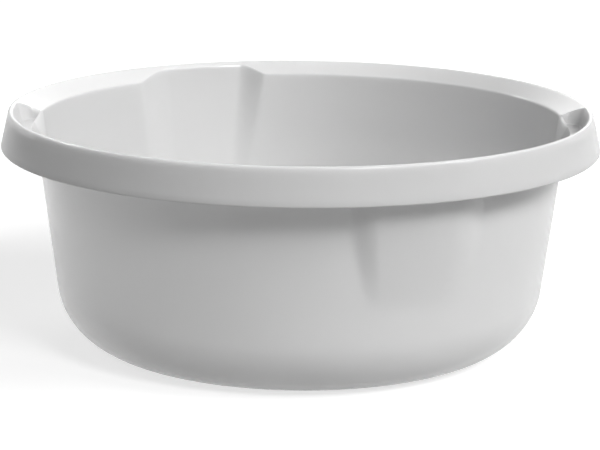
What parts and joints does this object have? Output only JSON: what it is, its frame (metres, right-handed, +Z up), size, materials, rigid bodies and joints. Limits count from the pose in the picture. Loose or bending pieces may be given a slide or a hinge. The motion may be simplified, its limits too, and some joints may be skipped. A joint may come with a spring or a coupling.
{
  "type": "washing up bowl",
  "caption": "Round moulded plastic washing up bowl with a turned-down rim, sunk side grips and opposed pouring lobes in the wall.",
  "frame": {"origin": "centre of the foot, on the surface that the bowl stands on", "axes": "+Z up out of the mouth, +X towards one grip, -Y towards the side that the picture shows; the grips' far ends lie just behind the X axis"},
  "size_m": [0.3846, 0.3844, 0.1535],
  "materials": {
    "bowl_plastic": "light neutral grey moulded polypropylene with a smooth satin skin"
  },
  "bodies": {
    "root": {"bowl": "bowl_plastic"}
  },
  "joints": []
}
